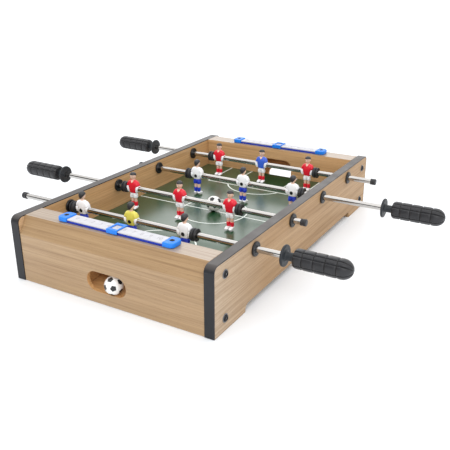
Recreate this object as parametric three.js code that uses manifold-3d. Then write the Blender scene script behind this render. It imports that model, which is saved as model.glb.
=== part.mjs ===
// Tabletop foosball table: two long side walls, two hollow end boxes with a goal mouth inside and a
// ball return slot outside, a raised playfield, four player rods and a sliding score counter per end.
// Frame: millimetres, +Z up, origin on the ground under the middle of the table.
// +X runs along the rods, +Y from the near end (the slot that holds a ball) to the far end.
import * as THREE from 'three';
import { mergeVertices } from 'three/addons/utils/BufferGeometryUtils.js';
import Module from 'manifold-3d';

const wasm = await Module();
wasm.setup();

// ---- driving dimensions ------------------------------------------------------------------------
const GAP = 0.3;                 // clearance between two pieces that touch

// Cabinet
const LENGTH = 514;              // side walls, along Y
const WIDTH = 310;               // over the side walls, along X
const HEIGHT = 90;
const WALL = 13.2;               // thickness of a side wall
const BAND = 1.2;                // edge band thickness
const CORNER_R = 9;              // rounded top corners of a side wall
const FOOT = 73;                 // length of a foot, measured from the wall's end
const ARCH_H = 10;               // height of the cut-out between the feet
const ARCH_FILLET = 9;

// End boxes (measured outwards from the inner face, then up)
const END_INNER_Y = 214;         // inner face
const END_TOP = 29.3;            // width of the flat top
const END_BASE = 42.2;           // width at the ground
const END_FOLD_Z = 67;           // height where the outer face starts to lean inwards
const END_BOARD = 6;             // board thickness round the ball drop
const DROP_HALF = 38;            // half width of the ball drop
const DROP_TOP = 73;

// Goal mouth and return slot
const GOAL_HALF = 32;
const GOAL_TOP = 71;
const GOAL_R = 13;
const GOAL_SILL = 34;            // the mouth is cut to below the playfield, which hides its sill
const SLOT_LENGTH = 61;
const SLOT_HEIGHT = 27;
const SLOT_Z = 30;               // height of the slot's middle line

// Playfield
const FIELD_Z = 42;              // top surface
const FIELD_T = 4;
const BATTEN = 12;
const BATTEN_LENGTH = 400;

// Rods: handle side is +1 for a handle towards +X; shift is how far the group stands off centre
const ROD_Z = 76;
const ROD_PITCH = 107.4;
const ROD_R = 4;
const TUBE_WALL = 0.8;
const RODS = [
  { side: 1, shift: -31.4, facing: 1, team: 'white', keeper: 'yellow' },
  { side: -1, shift: -26.1, facing: -1, team: 'red', keeper: null },
  { side: 1, shift: 21.6, facing: 1, team: 'white', keeper: null },
  { side: -1, shift: -0.1, facing: -1, team: 'red', keeper: 'blue' },
];
const BORE_R = ROD_R + GAP;      // everything threaded on a rod
const FIGURE_PITCH = 85.5;
const CAP_END = -202.4;          // outer end of the end cap, from the group's middle
const CAP_LENGTH = 8;
const CAP_R = 4.9;
const HANDLE_START = 224.4;      // inner face of the handle's flange, from the group's middle
const HANDLE_LENGTH = 86;
const BUMPER_OUTER = 104.7;      // outer face of a bumper, from the group's middle
const BUMPER_LENGTH = 8.2;
const BUMPER_R = 8.6;

// Bushings
const BUSH_FLANGE_R = 9.5;
const BUSH_FLANGE_T = 2.5;
const BUSH_BARREL_R = 6.5;

// Score counters
const RAIL_LENGTH = 179.5;
const RAIL_WIDTH = 18.5;
const RAIL_HEIGHT = 3.9;
const BLOCK_LENGTH = 16;         // raised block at each end of the rail
const BLOCK_WIDTH = 21.5;
const BLOCK_HEIGHT = 6.4;
const BLOCK_R = 7;
const STRIP_HEIGHT = 0.8;
const SLIDER_LENGTH = 16.5;
const SLIDER_WIDTH = 22.4;
const SLIDER_BOTTOM = 0.8;
const SLIDER_TOP = 6.5;
const SLIDER_SKIN = 1.3;

// Balls
const BALL_R = 12;
const RETURN_BALL_X = 8;

const ARC_STEPS = 6;             // segments per quarter circle on cabinet corners
const ROUND = 12;                // segments round a rod and everything threaded on it

// ---- colours -----------------------------------------------------------------------------------
const OAK = { color: 0xc6a27c, roughness: 0.45, metalness: 0 };
const BAND_GREY = { color: 0x4b4c50, roughness: 0.5, metalness: 0 };
const FIELD_GREEN = { color: 0x1f4a35, roughness: 0.25, metalness: 0 };
const RAW_BOARD = { color: 0xa98a66, roughness: 0.8, metalness: 0 };
const BLACK_PLASTIC = { color: 0x2b2c2f, roughness: 0.5, metalness: 0 };
const GRIP_BLACK = { color: 0x36373a, roughness: 0.6, metalness: 0 };
const RUBBER = { color: 0x1d1d1f, roughness: 0.75, metalness: 0 };
const CHROME = { color: 0xd9dadc, roughness: 0.15, metalness: 1 };
const COUNTER_BLUE = { color: 0x2456c8, roughness: 0.35, metalness: 0 };
const SLIDER_BLUE = { color: 0x2b90ec, roughness: 0.35, metalness: 0 };
const CARD_WHITE = { color: 0xf2f2f2, roughness: 0.5, metalness: 0 };
const BALL_WHITE = { color: 0xf0f0f0, roughness: 0.35, metalness: 0 };
const SHIRTS = {
  white: { color: 0xf2f2f2, roughness: 0.4, metalness: 0 },
  red: { color: 0xd61d36, roughness: 0.4, metalness: 0 },
  yellow: { color: 0xe4d447, roughness: 0.4, metalness: 0 },
  blue: { color: 0x2d55c9, roughness: 0.4, metalness: 0 },
};

// ---- booleans ----------------------------------------------------------------------------------
function toSolid(geometry) {
  const bare = geometry.clone();
  bare.deleteAttribute('normal');
  bare.deleteAttribute('uv');
  const merged = mergeVertices(bare, 1e-4);
  const mesh = new wasm.Mesh({
    numProp: 3,
    vertProperties: new Float32Array(merged.attributes.position.array),
    triVerts: new Uint32Array(merged.index.array),
  });
  return new wasm.Manifold(mesh);
}

function toGeometry(solid) {
  const mesh = solid.getMesh();
  const geometry = new THREE.BufferGeometry();
  geometry.setAttribute('position', new THREE.BufferAttribute(mesh.vertProperties, 3));
  geometry.setIndex(new THREE.BufferAttribute(mesh.triVerts, 1));
  geometry.computeVertexNormals();
  return geometry;
}

function join(geometries) {
  return geometries.map(toSolid).reduce((whole, solid) => whole.add(solid));
}

function cut(geometries, tools) {
  return toGeometry(join(geometries).subtract(join(tools)));
}

// ---- basic shapes ------------------------------------------------------------------------------
// Block between two corners.
function block(x0, x1, y0, y1, z0, z1) {
  const geometry = new THREE.BoxGeometry(x1 - x0, y1 - y0, z1 - z0);
  return geometry.translate((x0 + x1) / 2, (y0 + y1) / 2, (z0 + z1) / 2);
}

function extrude(shape, depth) {
  return new THREE.ExtrudeGeometry(shape, { depth, bevelEnabled: false, curveSegments: ARC_STEPS });
}

// Outline drawn in (Y, Z), pulled along X from x0 to x1.
function extrudeAlongX(shape, x0, x1) {
  const turn = new THREE.Matrix4().makeBasis(
    new THREE.Vector3(0, 1, 0),
    new THREE.Vector3(0, 0, 1),
    new THREE.Vector3(1, 0, 0),
  );
  return extrude(shape, x1 - x0).applyMatrix4(turn).translate(x0, 0, 0);
}

// Outline drawn in (X, Z), pulled along Y from y0 to y1.
function extrudeAlongY(shape, y0, y1) {
  return extrude(shape, y1 - y0).rotateX(Math.PI / 2).translate(0, y1, 0);
}

// Profile of [radius, distance along X] points, turned about the X axis.
function turned(profile, segments = ROUND) {
  const points = profile.map(([r, x]) => new THREE.Vector2(r, x));
  return new THREE.LatheGeometry(points, segments).rotateZ(-Math.PI / 2);
}

// Round bar on the X axis.
function bar(radius, x0, x1, segments = ROUND) {
  return turned([[0, x0], [radius, x0], [radius, x1], [0, x1]], segments);
}

function ball(radius, detail) {
  return new THREE.IcosahedronGeometry(radius, detail);
}

// Round hole for an outline that is drawn clockwise.
function holePath(x, y, radius) {
  const path = new THREE.Path();
  path.absarc(x, y, radius, 0, 2 * Math.PI, false);
  return path;
}

// ---- the table as a scene ----------------------------------------------------------------------
const group = new THREE.Group();

function place(parent, name, geometry, look) {
  const mesh = new THREE.Mesh(geometry, new THREE.MeshStandardMaterial(look));
  mesh.name = name;
  parent.add(mesh);
  return mesh;
}

function rodY(index) {
  return (index - (RODS.length - 1) / 2) * ROD_PITCH;
}

// ---- side walls --------------------------------------------------------------------------------
// Over the wall from one end to the other, inset from its edges: up, round, along, round and down.
function wallTopOutline(path, inset) {
  const end = LENGTH / 2 - inset;
  const r = CORNER_R - inset;
  const arcZ = HEIGHT - CORNER_R;
  path.lineTo(-end, 0);
  path.absarc(-end + r, arcZ, r, Math.PI, Math.PI / 2, true);
  path.absarc(end - r, arcZ, r, Math.PI / 2, 0, true);
  path.lineTo(end, 0);
}

function wallOutline() {
  const footEnd = LENGTH / 2 - FOOT;
  const shape = new THREE.Shape();
  shape.moveTo(-footEnd, 0);
  wallTopOutline(shape, BAND + GAP / 2);
  shape.lineTo(footEnd, 0);
  shape.quadraticCurveTo(footEnd, ARCH_H, footEnd - ARCH_FILLET, ARCH_H);
  shape.lineTo(-footEnd + ARCH_FILLET, ARCH_H);
  shape.quadraticCurveTo(-footEnd, ARCH_H, -footEnd, 0);
  RODS.forEach((rod, index) => {
    shape.holes.push(holePath(rodY(index), ROD_Z, BUSH_BARREL_R + GAP));
  });
  return shape;
}

// One strip bent over the wall's ends and top.
function bandOutline() {
  const inner = LENGTH / 2 - BAND;
  const r = CORNER_R - BAND;
  const arcZ = HEIGHT - CORNER_R;
  const shape = new THREE.Shape();
  shape.moveTo(-inner, 0);
  wallTopOutline(shape, 0);
  shape.lineTo(inner, 0);
  shape.absarc(inner - r, arcZ, r, 0, Math.PI / 2, false);
  shape.absarc(-inner + r, arcZ, r, Math.PI / 2, Math.PI, false);
  shape.closePath();
  return shape;
}

function buildSideWall(name, side) {
  const x0 = side > 0 ? WIDTH / 2 - WALL : -WIDTH / 2;
  place(group, `${name}_side_wall`, extrudeAlongX(wallOutline(), x0, x0 + WALL), OAK);
  place(group, `${name}_edge_band`, extrudeAlongX(bandOutline(), x0, x0 + WALL), BAND_GREY);
}

// ---- end boxes ---------------------------------------------------------------------------------
// The far end is built directly; the near end is the same group turned half a turn about Z.
const INNER_X = WIDTH / 2 - WALL - GAP;   // half width between the side walls
const END_OUTER_Y = END_INNER_Y + END_BASE;

function endSection() {
  const shape = new THREE.Shape();
  shape.moveTo(END_INNER_Y, 0);
  shape.lineTo(END_OUTER_Y, 0);
  shape.lineTo(END_OUTER_Y, END_FOLD_Z);
  shape.lineTo(END_INNER_Y + END_TOP, HEIGHT);
  shape.lineTo(END_INNER_Y, HEIGHT);
  shape.closePath();
  return shape;
}

function goalOutline() {
  const shape = new THREE.Shape();
  shape.moveTo(-GOAL_HALF, GOAL_SILL);
  shape.lineTo(GOAL_HALF, GOAL_SILL);
  shape.absarc(GOAL_HALF - GOAL_R, GOAL_TOP - GOAL_R, GOAL_R, 0, Math.PI / 2, false);
  shape.absarc(-GOAL_HALF + GOAL_R, GOAL_TOP - GOAL_R, GOAL_R, Math.PI / 2, Math.PI, false);
  shape.closePath();
  return shape;
}

function slotOutline() {
  const r = SLOT_HEIGHT / 2;
  const reach = SLOT_LENGTH / 2 - r;
  const shape = new THREE.Shape();
  shape.absarc(reach, SLOT_Z, r, -Math.PI / 2, Math.PI / 2, false);
  shape.absarc(-reach, SLOT_Z, r, Math.PI / 2, 1.5 * Math.PI, false);
  shape.closePath();
  return shape;
}

function endBox() {
  const overrun = 2;
  const body = extrudeAlongX(endSection(), -INNER_X, INNER_X);
  const dropInner = END_INNER_Y + END_BOARD;
  const dropOuter = END_OUTER_Y - END_BOARD;
  const drop = block(-DROP_HALF, DROP_HALF, dropInner, dropOuter, -overrun, DROP_TOP);
  const mouth = extrudeAlongY(goalOutline(), END_INNER_Y - overrun, dropInner + overrun);
  const slot = extrudeAlongY(slotOutline(), dropOuter - overrun, END_OUTER_Y + overrun);
  return cut([body], [drop, mouth, slot]);
}

// Plug in the bottom of the ball drop, its top sloping down to the slot.
function ballTray() {
  const inner = END_INNER_Y + END_BOARD + GAP;
  const outer = END_OUTER_Y - END_BOARD - GAP;
  const lowTop = SLOT_Z - SLOT_HEIGHT / 2;
  const fall = 3;
  const lift = 4;
  const shape = new THREE.Shape();
  shape.moveTo(inner, lift);
  shape.lineTo(outer, lift);
  shape.lineTo(outer, lowTop);
  shape.lineTo(inner, lowTop + fall);
  shape.closePath();
  return extrudeAlongX(shape, -DROP_HALF + GAP, DROP_HALF - GAP);
}

// ---- score counter: rail with raised end blocks, number strip and sliding marker --------------
const COUNTER_Y = END_INNER_Y + END_TOP / 2;

function blockOutline() {
  const x0 = RAIL_LENGTH / 2 - BLOCK_LENGTH;
  const x1 = RAIL_LENGTH / 2;
  const half = BLOCK_WIDTH / 2;
  const shape = new THREE.Shape();
  shape.moveTo(x0, half);
  shape.lineTo(x0, -half);
  shape.absarc(x1 - BLOCK_R, -half + BLOCK_R, BLOCK_R, -Math.PI / 2, 0, false);
  shape.absarc(x1 - BLOCK_R, half - BLOCK_R, BLOCK_R, 0, Math.PI / 2, false);
  shape.closePath();
  return shape;
}

function counterRail() {
  const half = RAIL_LENGTH / 2 - BLOCK_LENGTH + 1;
  const rail = block(-half, half, -RAIL_WIDTH / 2, RAIL_WIDTH / 2, 0, RAIL_HEIGHT);
  const right = extrude(blockOutline(), BLOCK_HEIGHT);
  const left = right.clone().rotateZ(Math.PI);
  return toGeometry(join([rail, right, left]));
}

function numberStrip() {
  const half = RAIL_LENGTH / 2 - BLOCK_LENGTH - GAP;
  const halfWidth = RAIL_WIDTH / 2 - 0.8;
  const z0 = RAIL_HEIGHT + GAP / 2;
  return block(-half, half, -halfWidth, halfWidth, z0, z0 + STRIP_HEIGHT);
}

// Saddle over the rail with a window that frames one number.
function scoreSlider() {
  const half = SLIDER_LENGTH / 2;
  const halfWidth = SLIDER_WIDTH / 2;
  const window = 5.4;
  const windowAcross = 6.4;
  const inside = halfWidth - SLIDER_SKIN;
  const body = block(-half, half, -halfWidth, halfWidth, SLIDER_BOTTOM, SLIDER_TOP);
  const channel = block(-half - 1, half + 1, -inside, inside, 0, SLIDER_TOP - SLIDER_SKIN + 0.3);
  const opening = block(-window, window, -windowAcross, windowAcross, 0, SLIDER_TOP + 1);
  return cut([body], [channel, opening]);
}

function buildEnd(name, turn) {
  const end = new THREE.Group();
  end.rotation.z = turn;
  group.add(end);
  place(end, `${name}_end_box`, endBox(), OAK);
  place(end, `${name}_ball_tray`, ballTray(), RAW_BOARD);
  const counter = new THREE.Group();
  counter.position.set(0, COUNTER_Y, HEIGHT + GAP / 2);
  end.add(counter);
  place(counter, `${name}_counter_rail`, counterRail(), COUNTER_BLUE);
  place(counter, `${name}_number_strip`, numberStrip(), CARD_WHITE);
  place(counter, `${name}_score_slider`, scoreSlider(), SLIDER_BLUE);
}

// ---- playfield ---------------------------------------------------------------------------------
function buildPlayfield() {
  const halfY = END_INNER_Y - GAP;
  const bottom = FIELD_Z - FIELD_T;
  place(group, 'playfield', block(-INNER_X, INNER_X, -halfY, halfY, bottom, FIELD_Z), FIELD_GREEN);
  for (const [name, side] of [['left', -1], ['right', 1]]) {
    const batten = block(0, BATTEN, -BATTEN_LENGTH / 2, BATTEN_LENGTH / 2, -BATTEN, 0);
    const mesh = place(group, `${name}_field_batten`, batten, RAW_BOARD);
    const x = side > 0 ? INNER_X - BATTEN : -INNER_X;
    mesh.position.set(x, 0, bottom - GAP);
  }
}

// ---- parts threaded on a rod; X = 0 is the middle of the rod's group of figures ----------------
function bushing() {
  const inner = -WALL / 2 - GAP;
  const outer = WALL / 2 + GAP;
  return turned([
    [BORE_R, inner - BUSH_FLANGE_T],
    [BUSH_FLANGE_R, inner - BUSH_FLANGE_T],
    [BUSH_FLANGE_R, inner],
    [BUSH_BARREL_R, inner],
    [BUSH_BARREL_R, outer],
    [BUSH_FLANGE_R, outer],
    [BUSH_FLANGE_R, outer + BUSH_FLANGE_T],
    [BORE_R, outer + BUSH_FLANGE_T],
    [BORE_R, inner - BUSH_FLANGE_T],
  ]);
}

function tube() {
  const start = CAP_END + 2;
  const end = HANDLE_START + HANDLE_LENGTH - 14;
  const inside = ROD_R - TUBE_WALL;
  return turned([[inside, start], [ROD_R, start], [ROD_R, end], [inside, end], [inside, start]]);
}

function endCap() {
  const open = CAP_LENGTH;
  return turned([
    [0, 0],
    [CAP_R - 1.2, 0],
    [CAP_R, 1.2],
    [CAP_R, open],
    [BORE_R, open],
    [BORE_R, 1.6],
    [0, 1.6],
  ]).translate(CAP_END, 0, 0);
}

// Rubber stop: a thick ring against the figure, a groove and a thinner lip on the outside (+X).
function bumper() {
  const half = BUMPER_LENGTH / 2;
  const grooveR = BUMPER_R - 2;
  const lip = 2.4;
  return turned([
    [BORE_R, -half],
    [BUMPER_R - 1, -half],
    [BUMPER_R, -half + 1],
    [BUMPER_R, half - lip - 1.6],
    [grooveR, half - lip - 0.6],
    [grooveR, half - lip],
    [BUMPER_R, half - lip + 0.8],
    [BUMPER_R, half],
    [BORE_R, half],
    [BORE_R, -half],
  ]);
}

// Grip with a stop flange, a neck, ring grooves and a domed end.
function handle() {
  const flangeR = 13.6;
  const flangeT = 3.5;
  const neckR = 5.4;
  const gripStart = 14;
  const gripR = 12.2;
  const grooveR = 11.4;
  const grooveHalf = 1;
  const firstGroove = 12.2;      // from the start of the grip
  const groovePitch = 14;
  const grooves = 4;
  const boreEnd = HANDLE_LENGTH - 13;
  const profile = [[0, boreEnd], [BORE_R, boreEnd], [BORE_R, 0], [flangeR - 1, 0]];
  profile.push([flangeR, flangeT / 2], [flangeR - 1, flangeT], [neckR, flangeT]);
  profile.push([neckR, gripStart], [gripR - 2.5, gripStart + 0.6], [gripR, gripStart + 4]);
  for (let ring = 0; ring < grooves; ring += 1) {
    const x = gripStart + firstGroove + ring * groovePitch;
    profile.push([gripR, x - grooveHalf], [grooveR, x], [gripR, x + grooveHalf]);
  }
  const domeR = 10.4;
  for (const angle of [0, 0.35, 0.7, 1.1]) {
    const x = HANDLE_LENGTH - domeR + domeR * Math.sin(angle);
    profile.push([gripR - domeR + domeR * Math.cos(angle), x]);
  }
  profile.push([0, HANDLE_LENGTH]);
  return turned(profile).translate(HANDLE_START, 0, 0);
}

// ---- player figure, facing -Y ------------------------------------------------------------------
function shirtOutline() {
  const shape = new THREE.Shape();
  shape.moveTo(-5.6, -6.6);
  shape.lineTo(5.6, -6.6);
  shape.lineTo(6.6, -3);
  shape.lineTo(10.4, 2);
  shape.lineTo(10.6, 7.5);
  shape.lineTo(9, 11.2);
  shape.lineTo(5.5, 13);
  shape.lineTo(-5.5, 13);
  shape.lineTo(-9, 11.2);
  shape.lineTo(-10.6, 7.5);
  shape.lineTo(-10.4, 2);
  shape.lineTo(-6.6, -3);
  shape.closePath();
  return shape;
}

function figure() {
  const shirt = extrudeAlongY(shirtOutline(), -5.6, 5.6);
  const arms = bar(5.7, -10.5, 10.5, 10);
  const neck = bar(2.4, 12, 16, 6).rotateY(-Math.PI / 2);
  const head = ball(1, 1).scale(4.9, 5.4, 6.4).translate(0, 0, 19.7);
  const shorts = block(-6.2, 6.2, -4.2, 4.2, -14.4, -6);
  const legs = [-1, 1].map((side) => block(side * 3.2 - 2.7, side * 3.2 + 2.7, -2.7, 2.7, -28.6, -13.8));
  const shoes = block(-6.5, 6.5, -7.8, 3.4, -32.4, -27.6);
  const bore = bar(BORE_R, -12, 12);
  return cut([shirt, arms, neck, head, shorts, ...legs, shoes], [bore]);
}

const FIGURE_SLOTS = [['left', -1], ['middle', 0], ['right', 1]];

function buildRod(index, figureGeometry) {
  const rod = RODS[index];
  const name = `rod_${index + 1}`;
  const y = rodY(index);
  const axis = new THREE.Group();
  axis.position.set(rod.shift, y, ROD_Z);
  group.add(axis);

  const hardware = new THREE.Group();
  hardware.rotation.z = rod.side > 0 ? 0 : Math.PI;
  axis.add(hardware);
  place(hardware, `${name}_tube`, tube(), CHROME);
  place(hardware, `${name}_handle`, handle(), GRIP_BLACK);
  place(hardware, `${name}_end_cap`, endCap(), RUBBER);

  for (const [sideName, side] of [['left', -1], ['right', 1]]) {
    const bumperMesh = place(axis, `${name}_${sideName}_bumper`, bumper(), RUBBER);
    bumperMesh.position.x = side * (BUMPER_OUTER - BUMPER_LENGTH / 2);
    bumperMesh.rotation.z = side > 0 ? 0 : Math.PI;
    const bush = place(group, `${name}_${sideName}_bushing`, bushing(), BLACK_PLASTIC);
    bush.position.set(side * (WIDTH / 2 - WALL / 2), y, ROD_Z);
  }

  for (const [slotName, step] of FIGURE_SLOTS) {
    const isKeeper = rod.keeper !== null && step === 0;
    const look = SHIRTS[isKeeper ? rod.keeper : rod.team];
    const role = isKeeper ? 'keeper' : `${slotName}_player`;
    const mesh = place(axis, `${name}_${role}`, figureGeometry, look);
    mesh.position.x = step * FIGURE_PITCH;
    mesh.rotation.z = rod.facing < 0 ? 0 : Math.PI;
  }
}

// ---- balls -------------------------------------------------------------------------------------
function buildBalls() {
  const fieldBall = place(group, 'field_ball', ball(BALL_R, 3), BALL_WHITE);
  fieldBall.position.set(0, 0, FIELD_Z + BALL_R + GAP / 2);
  const returnBall = place(group, 'return_ball', ball(BALL_R, 3), BALL_WHITE);
  const slotFloor = SLOT_Z - SLOT_HEIGHT / 2;
  const restY = END_OUTER_Y - END_BOARD * 0.85;
  returnBall.position.set(RETURN_BALL_X, -restY, slotFloor + BALL_R + GAP / 2);
}

buildSideWall('left', -1);
buildSideWall('right', 1);
buildEnd('far', 0);
buildEnd('near', Math.PI);
buildPlayfield();
const figureGeometry = figure();
RODS.forEach((rod, index) => buildRod(index, figureGeometry));
buildBalls();

export default group;
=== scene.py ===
"""Looks of a tabletop foosball table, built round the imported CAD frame.

Frame: metres, Z up. X runs along the player rods, Y from the near end to the far end.
"""
from math import acos, copysign, cos, degrees, pi, radians, sin, sqrt, tau

import bmesh
import bpy
from mathutils import Euler, Matrix, Vector


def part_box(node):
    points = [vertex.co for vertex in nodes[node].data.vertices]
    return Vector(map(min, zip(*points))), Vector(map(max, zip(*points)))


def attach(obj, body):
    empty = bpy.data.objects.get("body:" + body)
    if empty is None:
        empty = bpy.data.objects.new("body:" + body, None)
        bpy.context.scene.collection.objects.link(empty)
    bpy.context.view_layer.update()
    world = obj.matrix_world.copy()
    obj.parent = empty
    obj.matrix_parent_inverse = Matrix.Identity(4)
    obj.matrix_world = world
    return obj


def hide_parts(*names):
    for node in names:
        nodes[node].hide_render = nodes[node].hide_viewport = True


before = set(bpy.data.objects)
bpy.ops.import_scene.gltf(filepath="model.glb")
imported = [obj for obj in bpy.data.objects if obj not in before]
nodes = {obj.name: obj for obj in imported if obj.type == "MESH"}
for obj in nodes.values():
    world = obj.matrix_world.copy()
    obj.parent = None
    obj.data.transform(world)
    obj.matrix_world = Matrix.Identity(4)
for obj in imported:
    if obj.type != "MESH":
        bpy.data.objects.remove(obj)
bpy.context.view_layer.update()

MM = 0.001
ENDS = ("near", "far")
SIDES = ("left", "right")
RODS = ("rod_1", "rod_2", "rod_3", "rod_4")


# ---- materials ----
def rgb(red, green, blue):
    """Colour from 0-255 display values to the linear RGBA that a shader takes."""
    linear = [((c / 255 + 0.055) / 1.055) ** 2.4 for c in (red, green, blue)]
    return (*linear, 1.0)


class Nodes:
    """Short calls for the nodes of a material or of the sky."""

    def __init__(self, owner, shader):
        owner.use_nodes = True
        self.tree = owner.node_tree
        self.shader = self.tree.nodes[shader]

    def node(self, kind, **inputs):
        made = self.tree.nodes.new(kind)
        for socket, value in inputs.items():
            self.feed(made.inputs[socket.replace("_", " ")], value)
        return made

    def feed(self, socket, value):
        if isinstance(value, bpy.types.NodeSocket):
            self.tree.links.new(value, socket)
        else:
            socket.default_value = value

    def set(self, socket, value):
        self.feed(self.shader.inputs[socket], value)

    def coords(self, scale=(1, 1, 1), shift=(0, 0, 0)):
        place = self.node("ShaderNodeTexCoord").outputs["Object"]
        mapping = self.node("ShaderNodeMapping", Vector=place, Scale=scale, Location=shift)
        return mapping.outputs["Vector"]

    def noise(self, vector, scale, detail=2.0, distortion=0.0, rough=0.5):
        made = self.node("ShaderNodeTexNoise", Vector=vector, Scale=scale, Detail=detail,
                         Distortion=distortion, Roughness=rough)
        return made.outputs["Fac"]

    def math(self, operation, first, second=0.0):
        made = self.node("ShaderNodeMath")
        made.operation = operation
        self.feed(made.inputs[0], first)
        self.feed(made.inputs[1], second)
        return made.outputs[0]

    def spread(self, value, low, high, to_low=0.0, to_high=1.0):
        made = self.node("ShaderNodeMapRange", Value=value, From_Min=low, From_Max=high, To_Min=to_low,
                         To_Max=to_high)
        return made.outputs["Result"]

    def mix(self, share, first, second):
        made = self.node("ShaderNodeMix")
        made.data_type = "RGBA"
        self.feed(made.inputs["Factor"], share)
        self.feed(made.inputs[6], first)
        self.feed(made.inputs[7], second)
        return made.outputs[2]


class Look(Nodes):
    """One material; its constant sockets are given by name."""

    def __init__(self, name, **sockets):
        self.material = bpy.data.materials.new(name)
        super().__init__(self.material, "Principled BSDF")
        for socket, value in sockets.items():
            self.set(socket.replace("_", " "), value)

    def finish(self, colour, roughness, relief, depth, strength):
        """Feeds the shader its colour, gloss and relief (depth in metres), and gives the material."""
        self.set("Base Color", colour)
        self.set("Roughness", roughness)
        bump = self.node("ShaderNodeBump", Height=relief, Distance=depth, Strength=strength)
        self.set("Normal", bump.outputs["Normal"])
        return self.material


SHEEN_LOW, SHEEN_HIGH = 0.084, 0.088     # between these heights the painted sheen of the top light comes in on the level foil
NEAR_SHEEN_SPAN = (-0.13, -0.25)           # Y where the sides start to be painted paler, and where they are palest: a painted reflection of the floor


def stretched(axis, share):
    """Scale that draws a pattern out along one axis."""
    scale = [1.0, 1.0, 1.0]
    scale[axis] = share
    return tuple(scale)


def oak(name, grain_axis, tones, shift, coat, gloss=0.5, fade=0.0, near_sheen_span=NEAR_SHEEN_SPAN):
    """Oak foil: broad bands, growth-ring figure, fine streaks and short pores along one axis.

    tones are its light, middle and dark brown. The level top of the box is painted paler and greyer: a
    painted sheen of the top light.
    fade is how far the foil is painted paler at its near end: a painted reflection of the bright floor.
    """
    light, mid, dark = tones
    look = Look(name, Coat_Weight=coat, Coat_Roughness=0.26, Specular_IOR_Level=gloss)
    place = look.coords(stretched(grain_axis, 0.018), shift)
    near = look.coords(stretched(grain_axis, 0.12), shift)
    bands = look.noise(place, 55, detail=3, distortion=0.2)
    rings = look.math("SINE", look.math("MULTIPLY", look.noise(place, 26, detail=1, distortion=0.1), 90))
    lines = look.noise(place, 210, detail=6, rough=0.7)
    streaks = look.noise(place, 480, detail=5, rough=0.65)
    pores = look.noise(near, 1500, detail=2)
    tone = look.mix(look.spread(bands, 0.3, 0.7), mid, light)
    spot = look.node("ShaderNodeTexCoord")
    facing = look.node("ShaderNodeSeparateXYZ", Vector=spot.outputs["Normal"])
    metres = look.node("ShaderNodeSeparateXYZ", Vector=spot.outputs["Object"])
    level = look.spread(facing.outputs["Z"], 0.8, 0.95, 0, 0.8)
    high = look.spread(metres.outputs["Z"], SHEEN_LOW, SHEEN_HIGH)
    # painted sheen: level faces near the top are painted paler and greyer
    tone = look.mix(look.math("MULTIPLY", level, high), tone, OAK_TOP_SHEEN)
    # painted reflection of the bright floor: paler towards the near end
    tone = look.mix(look.spread(metres.outputs["Y"], *near_sheen_span, 0, fade), tone, OAK_NEAR_SHEEN)
    tone = look.mix(look.spread(rings, 0.3, 1.0, 0, 0.12), tone, dark)
    tone = look.mix(look.spread(lines, 0.5, 0.72, 0, 0.4), tone, dark)
    tone = look.mix(look.spread(streaks, 0.42, 0.75, 0, 0.5), tone, dark)
    tone = look.mix(look.spread(pores, 0.62, 0.72, 0, 0.35), tone, dark)
    gloss_map = look.spread(streaks, 0.3, 0.7, 0.37, 0.52)
    relief = look.math("SUBTRACT", look.math("MULTIPLY", streaks, 0.4), pores)
    return look.finish(tone, gloss_map, relief, 0.00006, 0.5)


def plastic(name, colour, roughness=0.34, wear=0.1, **sockets):
    """Moulded or painted plastic: a faint mottle in the colour, uneven gloss and a fine skin."""
    look = Look(name, **sockets)
    place = look.coords()
    mottle = look.noise(place, 180, detail=4)
    skin = look.noise(place, 2600, detail=2)
    darker = tuple(c * (1 - wear) for c in colour[:3]) + (1.0,)
    tone = look.mix(look.spread(mottle, 0.35, 0.7), colour, darker)
    gloss = look.spread(mottle, 0.3, 0.7, roughness - 0.05, roughness + 0.07)
    return look.finish(tone, gloss, skin, 0.00002, 0.6)


def rubber(name, colour, roughness=0.6):
    """Matt rubber with a pebbled skin and a dusty bloom."""
    look = Look(name, Specular_IOR_Level=0.4, Sheen_Weight=0.05)
    place = look.coords()
    bloom = look.noise(place, 70, detail=4)
    pebble = look.noise(place, 1700, detail=3)
    dusty = tuple(c * 1.35 + 0.004 for c in colour[:3]) + (1.0,)
    tone = look.mix(look.spread(bloom, 0.35, 0.75, 0, 0.6), colour, dusty)
    gloss = look.spread(pebble, 0.3, 0.7, roughness - 0.06, roughness + 0.08)
    return look.finish(tone, gloss, pebble, 0.00005, 0.5)


def chrome(name):
    """Bright plated steel with fine drawn lines along the rod."""
    look = Look(name, Metallic=1.0)
    drawn = look.noise(look.coords((0.02, 1, 1)), 1800, detail=2)
    haze = look.noise(look.coords(), 60, detail=3)
    tone = look.mix(haze, rgb(200, 197, 193), rgb(184, 182, 180))
    return look.finish(tone, look.spread(haze, 0.3, 0.7, 0.06, 0.12), drawn, 0.000006, 0.5)


def edge_band_look(name):
    """Grey edge band: printed leather grain, slightly polished patches, painted lighter on its level
    faces as painted top light.
    """
    look = Look(name, Specular_IOR_Level=0.34)
    place = look.coords()
    grain = look.noise(place, 1300, detail=3)
    patches = look.noise(place, 45, detail=3)
    normal = look.node("ShaderNodeTexCoord").outputs["Normal"]
    facing = look.node("ShaderNodeSeparateXYZ", Vector=normal)
    grey = look.mix(look.spread(patches, 0.3, 0.7), rgb(28, 29, 33), rgb(34, 35, 39))
    # level faces painted lighter: painted top light
    level = look.spread(facing.outputs["Z"], 0.3, 0.95)
    tone = look.mix(level, grey, rgb(68, 63, 61))
    return look.finish(tone, look.spread(patches, 0.3, 0.7, 0.36, 0.46), grain, 0.00005, 0.5)


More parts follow.
